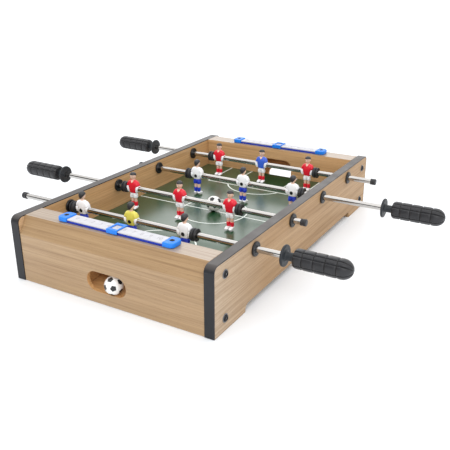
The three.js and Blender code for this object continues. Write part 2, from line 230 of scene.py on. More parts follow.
def field_look(name):
    """Glossy printed board: deep green with a faint fibre and uneven lacquer."""
    look = Look(name, Coat_Weight=0.55, Coat_Roughness=0.2)
    place = look.coords()
    fibre = look.noise(look.coords((1, 0.3, 1)), 700, detail=4)
    cloud = look.noise(place, 14, detail=3)
    green = look.mix(look.spread(cloud, 0.3, 0.7), rgb(20, 62, 31), rgb(28, 70, 40))
    tone = look.mix(look.spread(fibre, 0.35, 0.75, 0, 0.25), green, rgb(39, 79, 51))
    return look.finish(tone, look.spread(cloud, 0.3, 0.7, 0.27, 0.34), fibre, 0.00003, 0.35)


def board_look(name):
    """Raw fibreboard: mealy brown with dark flecks."""
    look = Look(name)
    place = look.coords()
    meal = look.noise(place, 900, detail=5, rough=0.7)
    fleck = look.noise(place, 2200, detail=1)
    tone = look.mix(look.spread(meal, 0.3, 0.7), rgb(150, 116, 78), rgb(182, 150, 108))
    tone = look.mix(look.spread(fleck, 0.62, 0.75, 0, 0.6), tone, rgb(96, 70, 44))
    return look.finish(tone, look.spread(meal, 0.3, 0.7, 0.75, 0.9), meal, 0.00015, 0.6)


def core_look(name):
    """Sawn core of the end boxes: warm brown with a fine sawn grain."""
    look = Look(name, Specular_IOR_Level=0.3)
    sawn = look.noise(look.coords((0.1, 1, 1)), 700, detail=4)
    tone = look.mix(look.spread(sawn, 0.3, 0.7), rgb(206, 158, 104), rgb(182, 136, 88))
    return look.finish(tone, look.spread(sawn, 0.3, 0.7, 0.55, 0.7), sawn, 0.00008, 0.5)


OAK_END = (rgb(176, 147, 110), rgb(160, 129, 91), rgb(112, 82, 50))
OAK_SIDE = (rgb(182, 151, 116), rgb(167, 135, 99), rgb(118, 87, 55))
# inner faces: lighter, warmer tones of the same foil, painted bounce light
OAK_INSIDE_PAINTED_LIGHT = (rgb(213, 172, 124), rgb(198, 155, 105), rgb(140, 100, 58))
# painted sheen of the top light on the level tops
OAK_TOP_SHEEN = rgb(166, 152, 138)
# painted reflection of the bright floor at the near end of the sides
OAK_NEAR_SHEEN = rgb(189, 169, 146)
oak_along = oak("oak_along_y", 1, OAK_SIDE, (0.3, 0.1, 0.2), 0.0, 0.12, fade=0.9)
oak_inside_painted_light = oak("oak_inside_painted_light", 1, OAK_INSIDE_PAINTED_LIGHT, (0.9, 0.6, 0.5), 0.2, fade=0.4, near_sheen_span=(-0.22, -0.235))
oak_across = oak("oak_along_x", 0, OAK_END, (0.0, 0.4, 0.7), 0.4)
oak_end_inside_painted_light = oak("oak_end_inside_painted_light", 0, OAK_INSIDE_PAINTED_LIGHT, (0.2, 0.5, 0.4), 0.2)
oak_core = core_look("sawn_core")
band_grey = edge_band_look("edge_band_grey")
field_green = field_look("field_board")
raw_board = board_look("raw_fibreboard")
marking_white = plastic("marking_paint", rgb(222, 230, 224))
bushing_black = plastic("bushing_nylon", rgb(22, 22, 24))
bolt_black = plastic("bolt_blackened", rgb(38, 39, 42), roughness=0.3, Metallic=0.6)
# bright metal in the socket: painted glint
bolt_painted_glint = plastic("bolt_socket_painted_glint", rgb(206, 208, 212), roughness=0.3, Metallic=0.6)
bolt_rim = plastic("bolt_washer_zinc", rgb(126, 127, 131), Metallic=0.7)
rubber_black = rubber("bumper_rubber", rgb(38, 39, 42), roughness=0.45)
grip_grey = rubber("grip_rubber", rgb(34, 34, 37), roughness=0.36)
# darker rubber on the groove floors: painted shade
groove_painted_shade = rubber("grip_groove_painted_shade", rgb(10, 10, 11), roughness=0.7)
flange_grey = rubber("grip_flange_rubber", rgb(28, 33, 38), roughness=0.5)
chrome_look = chrome("rod_chrome_plate")
counter_light = plastic("counter_light_blue", rgb(6, 122, 228), roughness=0.4)
counter_dark = plastic("counter_dark_blue", rgb(18, 50, 166), roughness=0.36)
card_white = plastic("number_card", rgb(197, 197, 202), roughness=0.5)
digit_ink = plastic("digit_ink", rgb(168, 165, 170), roughness=0.5)
ball_white = plastic("ball_white_lacquer", rgb(236, 236, 234), roughness=0.3, Coat_Weight=0.2)
ball_black = plastic("ball_black_print", rgb(26, 26, 28), roughness=0.32, Coat_Weight=0.2)
skin_paint = plastic("paint_skin", rgb(236, 200, 178), roughness=0.38)
lip_paint = plastic("paint_lip", rgb(206, 140, 122), roughness=0.38)
hair_paint = plastic("paint_hair", rgb(48, 48, 50), roughness=0.45)
white_paint = plastic("paint_white", rgb(246, 247, 250), wear=0.04)
red_paint = plastic("paint_red", rgb(226, 26, 50), roughness=0.32)
blue_paint = plastic("paint_blue", rgb(34, 62, 196))
royal_paint = plastic("paint_royal_blue", rgb(56, 100, 214))
yellow_paint = plastic("paint_yellow", rgb(228, 218, 96))


# ---- mesh building ----
class Shape:
    """Closed bodies that make up one piece, each with the number of its material."""

    def __init__(self):
        self.points = []
        self.faces = []
        self.looks = []

    def add(self, body, look=0):
        points, faces = body
        start = len(self.points)
        self.points.extend(points)
        self.faces.extend([tuple(start + i for i in face) for face in faces])
        self.looks.extend([look] * len(faces))
        return self

    def mesh(self, name, sharp=40):
        """Smooth mesh in metres from points in millimetres; creases over `sharp` degrees stay."""
        made = bpy.data.meshes.new(name)
        made.from_pydata([Vector(p) * MM for p in self.points], [], self.faces)
        made.polygons.foreach_set("material_index", self.looks)
        work = bmesh.new()
        work.from_mesh(made)
        bmesh.ops.recalc_face_normals(work, faces=work.faces)
        work.to_mesh(made)
        work.free()
        made.shade_smooth()
        made.set_sharp_from_angle(angle=radians(sharp))
        return made


def piece(name, mesh, looks, body, slot, at=(0, 0, 0), turn=0.0, stands_for=()):
    """One object at a place in the row frame, riding on a CAD body."""
    made = bpy.data.objects.new(name, mesh)
    bpy.context.scene.collection.objects.link(made)
    if not mesh.materials:
        for look in looks:
            mesh.materials.append(look)
    made.location = at
    made.rotation_euler = (0, 0, turn)
    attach(made, body)
    if stands_for:
        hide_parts(*stands_for)
    return made


def flat_sheet(name, half_x, half_y, z=0.0):
    """Level rectangle in metres, for the stage."""
    mesh = bpy.data.meshes.new(name)
    corners = [(x * half_x, y * half_y, z) for x, y in ((-1, -1), (1, -1), (1, 1), (-1, 1))]
    mesh.from_pydata(corners, [], [(0, 1, 2, 3)])
    made = bpy.data.objects.new(name, mesh)
    bpy.context.scene.collection.objects.link(made)
    return made


def round_edges(made, width, segments, angle):
    """Rounds the edges that turn more than an angle in degrees; width in millimetres."""
    bevel = made.modifiers.new("rounded_edges", "BEVEL")
    bevel.width = width * MM
    bevel.segments = segments
    bevel.limit_method = "ANGLE"
    bevel.angle_limit = radians(angle)
    return bevel


def soften(made, width, segments=3):
    """Rounds the sharp edges of a moulded piece."""
    round_edges(made, width, segments, 38).harden_normals = True


def loft(rings, close_ends=True):
    """Body through rings of points; a ring of one point is a tip."""
    points, starts, faces = [], [], []
    for ring in rings:
        starts.append(len(points))
        points.extend(ring)
    count = max(len(ring) for ring in rings)
    for level in range(len(rings) - 1):
        low, high = starts[level], starts[level + 1]
        low_tip, high_tip = len(rings[level]) == 1, len(rings[level + 1]) == 1
        for i in range(count):
            j = (i + 1) % count
            if low_tip:
                faces.append((low, high + j, high + i))
            elif high_tip:
                faces.append((low + i, low + j, high))
            else:
                faces.append((low + i, low + j, high + j, high + i))
    if close_ends:
        for level in (0, -1):
            if len(rings[level]) > 1:
                faces.append(tuple(starts[level] + i for i in range(count)))
    return points, faces


def circle(x, radius, steps):
    """Ring round the X axis, or its tip if the radius is nothing."""
    if radius < 1e-6:
        return [(x, 0.0, 0.0)]
    angles = [tau * i / steps for i in range(steps)]
    return [(x, radius * cos(a), radius * sin(a)) for a in angles]


def rounded(corners, steps=3):
    """Profile from (x, radius, fillet) corners, with each fillet drawn as a short curve."""
    line = []
    for i, (x, radius, fillet) in enumerate(corners):
        here = Vector((x, radius))
        if not fillet:
            line.append(tuple(here))
            continue
        back = (Vector(corners[i - 1][:2]) - here).normalized() * fillet
        on = (Vector(corners[(i + 1) % len(corners)][:2]) - here).normalized() * fillet
        for step in range(steps + 1):
            t = step / steps
            line.append(tuple(here + back * (1 - t) ** 2 + on * t ** 2))
    return line


def turned(corners, steps=48, hollow=False):
    """Body turned about the X axis; a hollow one has a profile that closes on itself."""
    profile = rounded(corners)
    rings = [circle(x, radius, steps) for x, radius in profile]
    if not hollow:
        return loft(rings)
    points, faces = loft(rings, close_ends=False)
    last = (len(rings) - 1) * steps
    for i in range(steps):
        j = (i + 1) % steps
        faces.append((last + i, last + j, j, i))
    return points, faces


def prism(outline, low, high, axis=2):
    """Outline of (a, b) points pulled between two heights along one axis."""
    order = {0: lambda a, b, h: (h, a, b), 2: lambda a, b, h: (a, b, h)}[axis]
    return loft([[order(a, b, height) for a, b in outline] for height in (low, high)])


def arc(centre, radius, start, end, steps):
    """Points on an arc, angles in degrees."""
    angles = [radians(start + (end - start) * i / steps) for i in range(steps + 1)]
    return [(centre[0] + radius * cos(a), centre[1] + radius * sin(a)) for a in angles]


def centre_of(node):
    low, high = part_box(node)
    return (low + high) / 2


def size_of(node):
    """A CAD node's size in millimetres."""
    low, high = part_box(node)
    return (high - low) / MM


# ---- cabinet: CAD nodes with rounded edges and their own finishes ----
def finish_node(node, look, width):
    """Gives a CAD node its look and edges rounded to a width in millimetres."""
    made = nodes[node]
    made.material_slots[0].material = look
    weld = made.modifiers.new("joined_faces", "WELD")
    weld.merge_threshold = 1e-6
    round_edges(made, width, 2, 25)


def add_look(node, look, picked):
    """Another look on those faces of a CAD node for which picked(face) holds."""
    mesh = nodes[node].data
    mesh.materials.append(look)
    for face in mesh.polygons:
        if picked(face):
            face.material_index = len(mesh.materials) - 1


def line_end_box(end):
    """The sawn core shows inside an end box and round its two openings; its pitch side is painted
    lighter and warmer: painted bounce light.
    """
    skin, half_width, top = 0.5 * MM, 40 * MM, 73.5 * MM
    low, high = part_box(f"{end}_end_box")

    def sawn(face):
        x, y, z = face.center
        return low.y + skin < y < high.y - skin and abs(x) < half_width and MM < z < top

    def faces_pitch(face):
        return abs(abs(face.center.y) - min(abs(low.y), abs(high.y))) < skin

    add_look(f"{end}_end_box", oak_core, sawn)
    # faces towards the pitch take the lighter inside tones: painted bounce light
    add_look(f"{end}_end_box", oak_end_inside_painted_light, faces_pitch)


def dress_cabinet():
    for side, inwards in (("left", 1), ("right", -1)):
        finish_node(f"{side}_side_wall", oak_along, 0.3)
        # inner faces take the lighter inside tones: painted bounce light
        add_look(f"{side}_side_wall", oak_inside_painted_light, lambda face: face.normal.x * inwards > 0.9)
        finish_node(f"{side}_edge_band", band_grey, 0.45)
        finish_node(f"{side}_field_batten", raw_board, 0.4)
    for end in ENDS:
        finish_node(f"{end}_end_box", oak_across, 0.5)
        finish_node(f"{end}_ball_tray", oak_core, 0.4)
        line_end_box(end)
    finish_node("playfield", field_green, 0.2)


# ---- field markings ----
def strip(line, width, low, high):
    """Flat painted line of one width along points on the field."""
    rings = []
    for i, here in enumerate(line):
        before = Vector(line[max(i - 1, 0)])
        after = Vector(line[min(i + 1, len(line) - 1)])
        across = (after - before).normalized().orthogonal() * width / 2
        left, right = Vector(here) + across, Vector(here) - across
        rings.append([(*left, low), (*right, low), (*right, high), (*left, high)])
    return loft(rings)


def make_markings():
    width = 2.3
    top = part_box("playfield")[1].z / MM
    half_x, half_y = (side / 2 - 0.4 for side in size_of("playfield").xy)
    areas = ((88, 127), (45, 157))    # penalty and goal area: half width, Y of the front line
    arc_r, arc_y = 54, 152            # penalty arc
    reach = degrees(acos((arc_y - areas[0][1]) / arc_r))
    across = [[(-half_x, 0), (half_x, 0)]]
    along = []
    curves = [arc((0, 0), 52, 0, 360, 72)]
    for way in (-1, 1):
        across += [[(-x, way * y), (x, way * y)] for x, y in areas]
        for side in (-1, 1):
            for x, y in areas:
                along.append([(side * x, way * (y - width / 2)), (side * x, way * half_y)])
        middle = -90 * way
        curves.append(arc((0, way * arc_y), arc_r, middle - reach, middle + reach, 28))
    shape = Shape()
    for lines, height in ((across, 0.08), (along, 0.10), (curves, 0.12)):
        for line in lines:
            shape.add(strip(line, width, top + 0.01, top + height))
    piece("field_markings", shape.mesh("field_markings"), [marking_white], "table", "number_card")


# ---- fasteners ----
def socket_head(radius, height, socket=0.42, steps=48):
    """Domed screw head on the X axis, facing +X, with a hexagonal socket."""
    def hexagon(x, flat):
        turns = [tau * i / steps for i in range(steps)]
        radii = [flat / cos(a % (pi / 3) - pi / 6) for a in turns]
        return [(x, r * cos(a), r * sin(a)) for a, r in zip(turns, radii)]

    rim = 0.62
    dome = ((0, 0.6), (0, 1), (0.35, 1), (0.75, 0.9), (0.97, rim), (1, rim * 0.86))
    rings = [circle(height * up, radius * out, steps) for up, out in dome]
    rings += [hexagon(height * up, radius * socket * out) for up, out in ((0.98, 1), (0.3, 0.94))]
    return loft(rings)


def washer(radius, bore, height, steps=48):
    corners = [(0, bore, 0), (0, radius, 0), (height, radius, height * 0.4)]
    return turned(corners + [(height, bore, height * 0.3)], steps, hollow=True)


def make_bolts():
    """Eight bolts hold the end boxes, two at each corner of the side walls."""
    inset = 24
    heights = (17.1, 73.3)
    shape = Shape()
    shape.add(washer(5.7, 4.0, 0.8), 2)
    shape.add(socket_head(4.6, 2.7), 0)
    # a bright disc deep in the socket stands for its glint: painted highlight
    shape.add(turned([(1.5, 0, 0), (1.5, 1.7, 0.2), (0.9, 1.7, 0), (0.9, 0, 0)], 24), 1)
    mesh = shape.mesh("side_bolt", sharp=50)
    for side, way, turn in (("left", -1, pi), ("right", 1, 0.0)):
        low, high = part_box(f"{side}_edge_band")
        face_x = high.x if way > 0 else low.x
        for end, y in (("near", low.y + inset * MM), ("far", high.y - inset * MM)):
            for level, z in zip(("low", "high"), heights):
                name = f"bolt_{side}_{end}_{level}"
                looks = [bolt_black, bolt_painted_glint, bolt_rim]
                piece(name, mesh, looks, "table", "bushing_black", (face_x, y, z * MM), turn)


# ---- score counters ----
RAIL_TOP = 2.9                       # blue rail; the thick white card stands on it


def make_rail(end, centre, turn):
    """Blue rail with a rounded lip on each side of the card."""
    size = size_of(f"{end}_number_strip")
    half, wide = size.x / 2 + 1, size.y / 2 + 0.8
    top, lip, bed = RAIL_TOP, 0.7, 3
    outline = [(-wide, 0), (wide, 0), (wide, top - lip), (wide - lip, top), (wide - bed, top)]
    outline += [(wide - bed - 0.4, top - 0.4), (-wide + bed + 0.4, top - 0.4), (-wide + bed, top)]
    outline += [(-wide + lip, top), (-wide, top - lip)]
    shape = Shape().add(prism(outline, -half, half, axis=0))
    made = piece(f"{end}_rail", shape.mesh(f"{end}_rail", 25), [counter_dark], "table", "counter_blue",
                 centre, turn, [f"{end}_counter_rail"])
    soften(made, 0.25, 2)


def block_outline(start, stop, half_y):
    """Plan of an end block: large corners outside, small ones beside the card."""
    big, small = 6.5, 2
    outline = arc((stop - big, -half_y + big), big, -90, 0, 8)
    outline += arc((stop - big, half_y - big), big, 0, 90, 8)
    outline += arc((start + small, half_y - small), small, 90, 180, 4)
    return outline + arc((start + small, -half_y + small), small, 180, 270, 4)


def make_blocks(end, centre, turn):
    """Light blue block with a screw at each end of the rail."""
    rail = size_of(f"{end}_counter_rail")
    start, stop = size_of(f"{end}_number_strip").x / 2 + 0.3, rail.x / 2
    for side, flip in (("right", 0.0), ("left", pi)):
        shape = Shape().add(prism(block_outline(start, stop, rail.y / 2), 0, rail.z))
        made = piece(f"{end}_counter_block_{side}", shape.mesh(f"{end}_block_{side}"), [counter_light],
                     "table", "slider_blue", centre, turn + flip)
        soften(made, 1.6, 5)
        shape = Shape().add(socket_head(2.6, 0.7, socket=0.5, steps=36))
        shape.add(washer(3.3, 2.4, 0.3, 36))
        middle, sunk = (start + stop) / 2, 0.02
        shape.points = [(middle - z, y, x + rail.z - sunk) for x, y, z in shape.points]
        piece(f"{end}_counter_screw_{side}", shape.mesh(f"{end}_screw_{side}", 50), [bolt_black],
              "table", "bushing_black", centre, turn + flip)


def digit_mesh(name, number, place):
    """Plain printed number."""
    text = bpy.data.curves.new(name, "FONT")
    text.body = str(number)
    text.size = 8.6 * MM
    text.align_x = text.align_y = "CENTER"
    text.extrude = 0.04 * MM
    holder = bpy.data.objects.new("digit_holder", text)
    mesh = bpy.data.meshes.new_from_object(holder)
    bpy.data.objects.remove(holder)
    mesh.name = name
    mesh.transform(Matrix.Translation(place))
    mesh.materials.clear()
    return mesh


def make_number_strip(end, centre, turn):
    """White card with the digits of the score, one at each place of the slider."""
    size = size_of(f"{end}_number_strip")
    top = (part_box(f"{end}_number_strip")[1].z - centre[2]) / MM
    half_x, half_y = size.x / 2, size.y / 2 + 0.6
    outline = [(-half_x, -half_y), (half_x, -half_y), (half_x, half_y), (-half_x, half_y)]
    shape = Shape().add(prism(outline, RAIL_TOP + 0.03, top))
    made = piece(f"{end}_card", shape.mesh(f"{end}_card"), [card_white], "table", "number_card",
                 centre, turn, [f"{end}_number_strip"])
    soften(made, 0.6, 3)
    pitch = 12.7
    for number in range(11):
        name = f"{end}_digit_{number}"
        mesh = digit_mesh(name, number, ((number - 5) * pitch * MM, 0.0, (top + 0.03) * MM))
        piece(name, mesh, [digit_ink], "table", "bushing_black", centre, turn)


def make_slider(end, centre, turn):
    """Saddle over the rail with a window that frames one digit."""
    size = size_of(f"{end}_score_slider")
    low = (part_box(f"{end}_score_slider")[0].z - centre[2]) / MM
    top, skin = low + size.z, 1.3
    half, wide = size.x / 2, size.y / 2
    window, across = 5.5, 6.5
    inner, under = wide - skin, top - skin
    outline = [(-wide, low), (-wide, top), (-across, top), (across, top), (wide, top), (wide, low)]
    outline += [(inner, low), (inner, under), (across, under), (-across, under), (-inner, under)]
    outline += [(-inner, low)]
    stations = (-half, -window, window, half)
    points = [(x, y, z) for x in stations for y, z in outline]
    count = len(outline)
    window_sides = (2, 8)            # of the outline, open between the two middle stations
    roof = (2, 3, 8, 9)              # section through the roof over the window's width
    faces = []
    for station in range(3):
        for i in range(count):
            if station == 1 and i in window_sides:
                continue
            a, b = station * count + i, station * count + (i + 1) % count
            faces.append((a, b, b + count, a + count))
    for station in (1, 2):
        faces.append([station * count + i for i in roof])
    for first, second in ((2, 9), (3, 8)):
        faces.append((count + first, count + second, 2 * count + second, 2 * count + first))
    for station in (0, 3):
        for part in ((0, 1, 2, 9, 10, 11), roof, (3, 4, 5, 6, 7, 8)):
            faces.append([station * count + i for i in part])
    shape = Shape().add((points, faces))
    made = piece(f"{end}_slider", shape.mesh(f"{end}_slider"), [counter_light], f"{end}_score_marker",
                 "slider_blue", centre, turn, [f"{end}_score_slider"])
    soften(made, 0.5, 3)


def make_counters():
    for end, turn in (("near", pi), ("far", 0.0)):
        middle = centre_of(f"{end}_counter_rail")
        centre = (middle.x, middle.y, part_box(f"{end}_counter_rail")[0].z)
        make_rail(end, centre, turn)
        make_blocks(end, centre, turn)
        make_number_strip(end, centre, 0.0 if end == "near" else pi)
        make_slider(end, centre, turn)


# ---- rods and what is threaded on them ----
def tube_mesh(length):
    radius, bore = 4.0, 3.2
    corners = [(0, bore, 0), (0, radius, 0.3), (length, radius, 0.3), (length, bore, 0)]
    return Shape().add(turned(corners, 56, hollow=True)).mesh("rod_tube")


def cap_mesh(length):
    radius, bore = 4.9, 4.3
    waist = radius - 0.25
    corners = [(0, 0, 0), (0, radius, 1.3), (length * 0.55, radius, 0.2), (length * 0.6, waist, 0.2)]
    corners += [(length * 0.72, waist, 0.2), (length * 0.77, radius, 0.2)]
    corners += [(length, radius, 0.25), (length, bore, 0.1), (1.6, bore, 0), (1.6, 0, 0)]
    return Shape().add(turned(corners)).mesh("end_cap")


def bumper_mesh(length):
    """Rubber stop seen from the figure outwards: a thick ring, a groove and a flared lip."""
    radius, bore = 8.6, 4.3
    lip = length - 2.6
    groove = radius - 2.2
    corners = [(0, bore, 0.2), (0, radius, 1.2), (lip - 1.6, radius, 0.7), (lip - 0.6, groove, 0.4)]
    corners += [(lip, groove, 0.4), (lip + 0.6, radius, 0.5), (length, radius, 0.7)]
    corners += [(length, bore + 1.2, 0.3), (length - 0.6, bore + 0.9, 0.2), (length - 0.6, bore, 0)]
    return Shape().add(turned(corners, hollow=True)).mesh("bumper")


def bushing_mesh(length):
    """Nylon sleeve through the wall with a flange on each side; +X is outside, where its ribs stand up.

    The inner face stays low, because the rubber stop comes up to it.
    """
    bore, barrel, flange, thick = 4.3, 6.5, 9.5, 2.5
    half = length / 2
    corners = [(-half, bore, 0.2), (-half, flange, 0.9), (-half + thick, flange, 0.2)]
    corners += [(-half + thick, barrel, 0), (half - thick, barrel, 0), (half - thick, flange, 0.2)]
    corners += [(half, flange, 0.9), (half, bore, 0.2)]
    shape = Shape().add(turned(corners, 64, hollow=True))
    for way, ring_rise, collar_rise, stud_rise in ((-1, 0.1, 0.12, 0.12), (1, 0.18, 0.5, 0.35)):
        def raised(rise, foot, top, fillet, steps=64, hollow=True):
            """Relief on a flange; foot and top are its inner and outer radius."""
            low, high = way * (half - 0.2), way * (half + rise)
            corners = [(low, foot[0], 0), (low, foot[1], 0), (high, top[1], fillet)]
            corners.append((high, top[0], fillet if hollow else 0))
            return turned(corners, steps, hollow=hollow)

        shape.add(raised(ring_rise, (7.9, 8.5), (8.0, 8.3), 0.05))
        shape.add(raised(collar_rise, (bore + 0.1, 5.6), (bore + 0.2, 5.4), 0.1))
        points, faces = raised(stud_rise, (0, 0.75), (0, 0.6), 0.08, 12, False)
        for nub in range(8):
            angle = tau * (nub + 0.5) / 8
            y, z = 6.7 * cos(angle), 6.7 * sin(angle)
            shape.add(([(x, y + a, z + b) for x, a, b in points], faces), 1)
    return shape.mesh("bushing")


GRIP_R, GRIP_START, GRIP_NECK = 12.2, 14.0, 5.2
SHOULDER, DOME = 4.4, 13.0           # lengths over which the grip rounds in at its ends
GROOVE_DEPTH, GROOVE_HALF = 1.3, 0.95
PAD_LENGTH, PAD_CROWN = 14.0, 0.14


def grip_radius(u, length):
    """Radius of the grip without its grooves."""
    if u < GRIP_START + SHOULDER:
        part = 1 - (u - GRIP_START) / SHOULDER
        return GRIP_R - 4.0 * (1 - sqrt(max(0.0, 1 - part * part)))
    if u > length - DOME:
        part = (u - (length - DOME)) / DOME
        return GRIP_R * sqrt(max(0.0, 1 - part * part))
    return GRIP_R


def groove_share(distance):
    """Share of a groove's depth at a distance from its middle."""
    t = min(1.0, abs(distance) / (GROOVE_HALF * 1.3))
    return 1 - t * t * (3 - 2 * t)


def grip_stations(rings, length):
    """Distances along the grip where its outline is drawn, close together at each ring groove."""
    stations = [GRIP_START + SHOULDER * (1 - cos(radians(a))) for a in (0, 20, 40, 60, 75, 90)]
    for ring in rings:
        stations += [ring + GROOVE_HALF * k for k in (-1.6, -1.0, -0.45, 0.45, 1.0, 1.6)]
    for ring in rings[:-1]:
        stations += [ring + PAD_LENGTH * t for t in (0.25, 0.5, 0.75)]
    dome = [length - DOME + DOME * sin(radians(a)) for a in (0, 15, 30, 45, 58, 70, 80)]
    return sorted(stations) + dome


def pad_angles(lines):
    """Angles round the grip, close together at each lengthwise groove."""
    bank = (0.055, 0.11, 0.17)
    angles = []
    for line, after in zip(lines, lines[1:] + [lines[0] + tau]):
        low, high = line + bank[-1], after - bank[-1]
        inside = 1 if after - line < 0.6 else 3
        angles += [line] + [line + k for k in bank]
        angles += [low + (high - low) * (k + 1) / (inside + 1) for k in range(inside)]
        angles += [after - k for k in reversed(bank)]
    return angles


def grip_body(length):
    """Domed grip cut into pads, and for each of its points whether it is deep in a groove."""
    rings = [GRIP_START + 12.2 + PAD_LENGTH * k for k in range(4)]
    lines = [radians(90 * quarter + turn) for quarter in range(4) for turn in (24, 54)]
    angles = pad_angles(lines)
    skin = [[(GRIP_START + 0.3, GRIP_NECK * cos(a), GRIP_NECK * sin(a)) for a in angles]]
    deep = [False] * len(angles)
    for u in grip_stations(rings, length):
        base = grip_radius(u, length)
        to_ring = min(abs(u - ring) for ring in rings)
        waist = PAD_CROWN * (1 - min(1.0, to_ring / (PAD_LENGTH / 2))) ** 2
        fade = min(1.0, base / (GRIP_R * 0.45))
        outline = []
        for a in angles:
            off = min(abs((a - line + pi) % tau - pi) for line in lines)
            share = max(groove_share(to_ring), groove_share(off * base) * fade)
            r = base - GROOVE_DEPTH * share - waist * fade
            outline.append((u, r * cos(a), r * sin(a)))
            deep.append(share > 0.45)
        skin.append(outline)
    skin.append([(length, 0.0, 0.0)])
    return loft(skin), deep + [False]


def handle_mesh(length):
    """Rubber handle along +X: stop flange, neck and ribbed grip."""
    flange, bore = 13.6, 4.3
    neck_end = GRIP_START + 1.5
    corners = [(0, bore, 0), (0, flange, 1.4), (3.4, flange, 1.5), (2.7, 7.6, 1.6)]
    corners += [(4.2, GRIP_NECK, 1.4), (neck_end, GRIP_NECK, 0), (neck_end, bore, 0)]
    shape = Shape().add(turned(corners, 56, hollow=True), 2)
    first = len(shape.faces)
    body, deep = grip_body(length)
    shape.add(body)
    # faces deep in a groove take the painted shade
    for number, face in enumerate(body[1]):
        if sum(deep[i] for i in face) >= 3:
            shape.looks[first + number] = 1
    return shape.mesh("handle", sharp=60)


def make_rods(figures):
    tube = tube_mesh(size_of("rod_1_tube").x)
    cap = cap_mesh(size_of("rod_1_end_cap").x)
    bumper = bumper_mesh(size_of("rod_1_left_bumper").x)
    handle = handle_mesh(size_of("rod_1_handle").x)
    bushing = bushing_mesh(size_of("rod_1_left_bushing").x)
    threaded = (("shaft", "tube", tube, [chrome_look], "rod_chrome"),
                ("grip", "handle", handle, [grip_grey, groove_painted_shade, flange_grey], "grip_black"),
                ("cap", "end_cap", cap, [rubber_black], "rubber_black"))
    for name in RODS:
        axis = centre_of(f"{name}_tube")
        to_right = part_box(f"{name}_handle")[1].x > axis.x

        def place(part, low_end):
            """Where a part of the rod starts, and its turn if it points left."""
            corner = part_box(f"{name}_{part}")[0 if low_end else 1]
            return (corner.x, axis.y, axis.z), 0.0 if low_end else pi

        for label, part, mesh, looks, slot in threaded:
            piece(f"{name}_{label}", mesh, looks, name, slot, *place(part, to_right), [f"{name}_{part}"])
        for side in SIDES:
            at, turn = place(f"{side}_bumper", side == "right")
            piece(f"{name}_{side}_stop", bumper, [rubber_black], f"{name}_carriage", "rubber_black",
                  at, turn, [f"{name}_{side}_bumper"])
            sleeve = f"{name}_{side}_bushing"
            piece(f"{name}_{side}_bearing", bushing, [bushing_black, bolt_black], "table",
                  "bushing_black", centre_of(sleeve), turn, [sleeve])
        place_figures(name, axis, figures)


# ---- player figures, millimetres from the rod's axis, facing -Y ----
SKIN, HAIR, SHIRT, SHORTS, SOCKS, WHITE, LIP, SCREW = range(8)
STEPS = 20


def outline_point(angle, half_a, half_b, power):
    """Point on an outline between an ellipse (power 2) and a rounded box."""
    c, s = cos(angle), sin(angle)
    return half_a * copysign(abs(c) ** (2 / power), c), half_b * copysign(abs(s) ** (2 / power), s)


def oval(centre, half_x, half_y, power=2.4, steps=STEPS):
    """Level ring."""
    offsets = [outline_point(tau * i / steps, half_x, half_y, power) for i in range(steps)]
    return [(centre[0] + x, centre[1] + y, centre[2]) for x, y in offsets]


def stack(levels, x=0.0, power=2.4, steps=STEPS):
    """Body through level ovals given as (z, half width, half depth, y)."""
    rings = [oval((x, y, z), half_x, half_y, power, steps) for z, half_x, half_y, y in levels]
    return loft(rings)


def blob(centre, half_x, half_y, half_z):
    """Small egg."""
    x, y, middle = centre
    rings = []
    for a in map(radians, (-60, -30, 0, 30, 60)):
        here = (x, y, middle + half_z * sin(a))
        rings.append(oval(here, half_x * cos(a), half_y * cos(a), 2, 12))
    return loft([[(x, y, middle - half_z)], *rings, [(x, y, middle + half_z)]])


def limb(path, side, power=2.3, steps=16):
    """Body along a path of (centre, half size along `side`, half size across it)."""
    side = Vector(side)
    rings = []
    for i, (centre, half_side, half_up) in enumerate(path):
        before, after = Vector(path[max(i - 1, 0)][0]), Vector(path[min(i + 1, len(path) - 1)][0])
        up = (after - before).normalized().cross(side).normalized()
        ring = []
        for k in range(steps):
            a, b = outline_point(tau * k / steps, half_side, half_up, power)
            ring.append(tuple(Vector(centre) + side * a + up * b))
        rings.append(ring)
    return loft(rings)


# (z, half width, half depth, y) from the shirt's hem to its collar.
TORSO = [(-6.7, 5.6, 3.6, 0), (-6.5, 6.2, 4.1, 0), (-5.9, 6.4, 4.3, 0), (-4, 6.6, 4.8, 0),
         (-1.5, 7.0, 5.2, 0), (1, 7.6, 5.5, 0), (4, 8.4, 5.5, 0), (7.5, 8.4, 5.2, 0.1),
         (10, 7.7, 4.7, 0.2), (11.8, 6.9, 4.0, 0.4), (12.8, 5.6, 3.3, 0.5), (13.3, 3.8, 2.6, 0.6)]
TORSO_POWER = 2.7


def torso_front(x, z):
    """Y of the shirt's front at a point of the chest."""
    for (z0, w0, d0, y0), (z1, w1, d1, y1) in zip(TORSO, TORSO[1:]):
        if z0 <= z <= z1:
            t = (z - z0) / (z1 - z0)
            width, depth, y = w0 + (w1 - w0) * t, d0 + (d1 - d0) * t, y0 + (y1 - y0) * t
            return y - depth * max(0.0, 1 - abs(x / width) ** TORSO_POWER) ** (1 / TORSO_POWER)
    return 0.0


def neckline():
    """Skin in the V of the collar."""
    rings = []
    for step in range(6):
        share = step / 5
        half, z = 3.4 * (1 - share) + 0.12, 13.25 - 3.9 * share
        xs = [half * (i / 3 - 1) for i in range(7)]
        front = [(x, torso_front(x, z) - 0.14, z) for x in xs]
        back = [(x, torso_front(x, z) + 0.9, z) for x in reversed(xs)]
        rings.append(front + back)
    return loft(rings)


HEAD_LOW, HEAD_HIGH, HEAD_WIDTH, HEAD_DEPTH = 14.4, 25.4, 4.5, 5.1
HEAD_MIDDLE, HEAD_HALF = (HEAD_LOW + HEAD_HIGH) / 2, (HEAD_HIGH - HEAD_LOW) / 2


